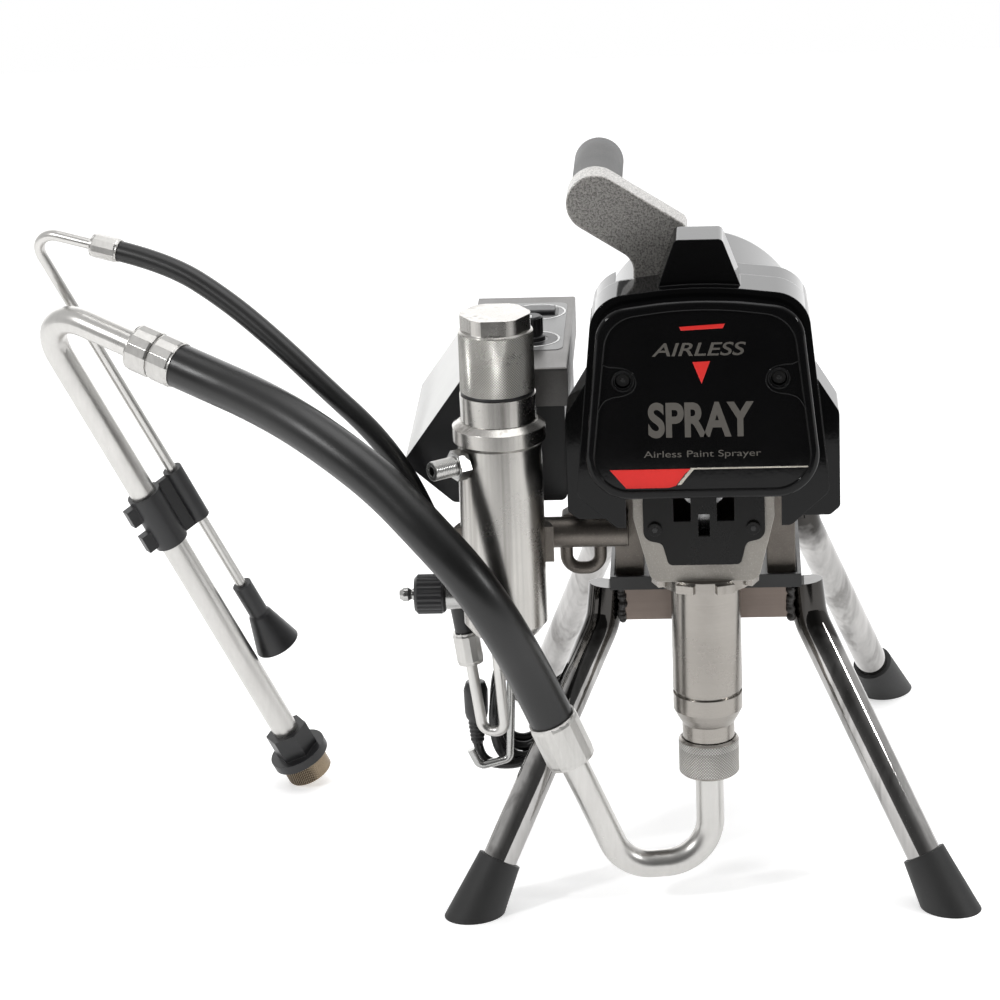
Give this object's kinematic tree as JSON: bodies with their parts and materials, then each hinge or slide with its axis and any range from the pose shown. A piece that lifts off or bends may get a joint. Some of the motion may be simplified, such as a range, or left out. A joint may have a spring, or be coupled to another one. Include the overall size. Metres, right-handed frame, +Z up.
{
  "type": "airless paint sprayer",
  "caption": "Portable electric airless paint sprayer: motor-driven piston pump on a tube stand, with filter manifold, control box, suction and drain hoses, carry handle and cord.",
  "frame": {"origin": "middle of the machine on the floor, under the stand", "axes": "+X to the right seen from the pump side, +Y from the pump to the back of the motor, +Z up"},
  "size_m": [0.6728, 0.4995, 0.531],
  "materials": {
    "chrome": "bright plated steel tube",
    "black_steel": "black powder coat",
    "foot_rubber": "matte moulded rubber",
    "cast_aluminium": "as-cast, bead blasted",
    "steel": "machined steel",
    "pump_steel": "turned stainless steel",
    "zinc": "zinc plated",
    "turned_aluminium": "turned and knurled",
    "tube_aluminium": "satin drawn tube",
    "hose_rubber": "satin hose cover",
    "black_plastic": "moulded nylon",
    "gloss_black": "polished moulded cover",
    "grey_hammer": "grey hammertone",
    "grip_rubber": "foamed rubber grip",
    "brushed_cover": "brushed sheet",
    "mesh": "woven wire",
    "brass": "machined brass",
    "cord_cover": "black PVC cord",
    "circuit_board": "circuit board",
    "filter_gauze": "fine gauze on a plastic core",
    "red_plastic": "red rocker",
    "polymer_seal": "leather and UHMW packings"
  },
  "bodies": {
    "machine": {"stand_frame": "chrome", "base_tray": "black_steel", "front_leg_left": "chrome", "front_leg_right": "chrome", "rear_leg_left": "chrome", "rear_leg_right": "chrome", "rubber_feet": "foot_rubber", "gear_housing": "cast_aluminium", "bearing_housing": "cast_aluminium", "finger_guard": "black_plastic", "motor_body": "black_steel", "motor_end_cap": "cast_aluminium", "shaft_bearings": "steel", "jam_nut": "zinc", "pump_cylinder": "pump_steel", "pump_packings": "polymer_seal", "intake_valve": "pump_steel", "suction_elbow": "tube_aluminium", "suction_ferrules": "zinc", "suction_hose": "hose_rubber", "suction_pipe": "tube_aluminium", "strainer_body": "black_plastic", "strainer_mesh": "mesh", "drain_tube": "zinc", "drain_ferrules": "zinc", "drain_hose": "hose_rubber", "drain_pipe": "tube_aluminium", "drain_deflector": "foot_rubber", "tube_clip": "black_plastic", "manifold_body": "turned_aluminium", "filter_element": "filter_gauze", "outlet_fitting": "zinc", "prime_valve": "brass", "control_box": "black_plastic", "control_cover": "brushed_cover", "control_board": "circuit_board", "front_hood": "gloss_black", "front_cover": "gloss_black", "panel_screws": "black_steel", "motor_shroud": "gloss_black", "handle_bracket": "grey_hammer", "handle_grip": "grip_rubber", "cord_gland": "black_plastic", "power_cord": "cord_cover", "cord_hank": "cord_cover", "power_plug": "black_plastic", "cord_hook": "steel"},
    "rotor_assembly": {"rotor": "steel", "cooling_fan": "black_plastic"},
    "reduction_shaft": {"reduction_gear": "steel"},
    "crank": {"crank_gear": "steel"},
    "pump_rod": {"connecting_rod": "steel", "rod_pins": "steel", "piston_rod": "pump_steel"},
    "hose_nut": {"coupling_nut": "pump_steel"},
    "filter_cap": {"manifold_cap": "turned_aluminium"},
    "prime_handle": {"prime_knob": "black_plastic"},
    "pressure_dial": {"pressure_knob": "black_plastic"},
    "switch_rocker": {"power_switch": "red_plastic"},
    "inlet_ball": {"intake_ball": "steel"}
  },
  "joints": [
    {"name": "crank_spin", "type": "hinge", "parent": "machine", "child": "crank", "pos_m": [0.01187, -0.12876, 0.33], "axis": [0, 1, 0], "continuous": true},
    {"name": "reduction_spin", "type": "hinge", "parent": "machine", "child": "reduction_shaft", "pos_m": [0.04052, -0.12876, 0.3671], "axis": [0, 1, 0], "continuous": true},
    {"name": "rotor_spin", "type": "hinge", "parent": "machine", "child": "rotor_assembly", "pos_m": [0.01187, -0.09676, 0.376], "axis": [0, 1, 0], "continuous": true},
    {"name": "pump_stroke", "type": "slide", "parent": "machine", "child": "pump_rod", "axis": [0, 0, 1], "range_m": [0, 0.024]},
    {"name": "hose_nut_turn", "type": "hinge", "parent": "machine", "child": "hose_nut", "pos_m": [0.01187, -0.18876, 0.11], "axis": [0, 0, 1], "continuous": true},
    {"name": "filter_cap_turn", "type": "hinge", "parent": "machine", "child": "filter_cap", "pos_m": [-0.12913, -0.18876, 0.4], "axis": [0, 0, 1], "continuous": true},
    {"name": "prime_knob_turn", "type": "hinge", "parent": "machine", "child": "prime_handle", "pos_m": [-0.17813, -0.18876, 0.236], "axis": [-1, 0, 0], "range_deg": [0, 90]},
    {"name": "pressure_knob_turn", "type": "hinge", "parent": "machine", "child": "pressure_dial", "pos_m": [-0.11013, -0.06876, 0.386], "axis": [0, 0, 1], "range_deg": [-270, 0]},
    {"name": "power_switch_rock", "type": "hinge", "parent": "machine", "child": "switch_rocker", "pos_m": [-0.10813, 0.00124, 0.382], "axis": [1, 0, 0], "range_deg": [-8, 8]},
    {"name": "inlet_ball_lift", "type": "slide", "parent": "machine", "child": "inlet_ball", "axis": [0, 0, 1], "range_m": [0, 0.006]}
  ],
  "couplings": [
    {"joint": "reduction_spin", "follows": "crank_spin", "ratio": -4},
    {"joint": "rotor_spin", "follows": "crank_spin", "ratio": 16}
  ]
}
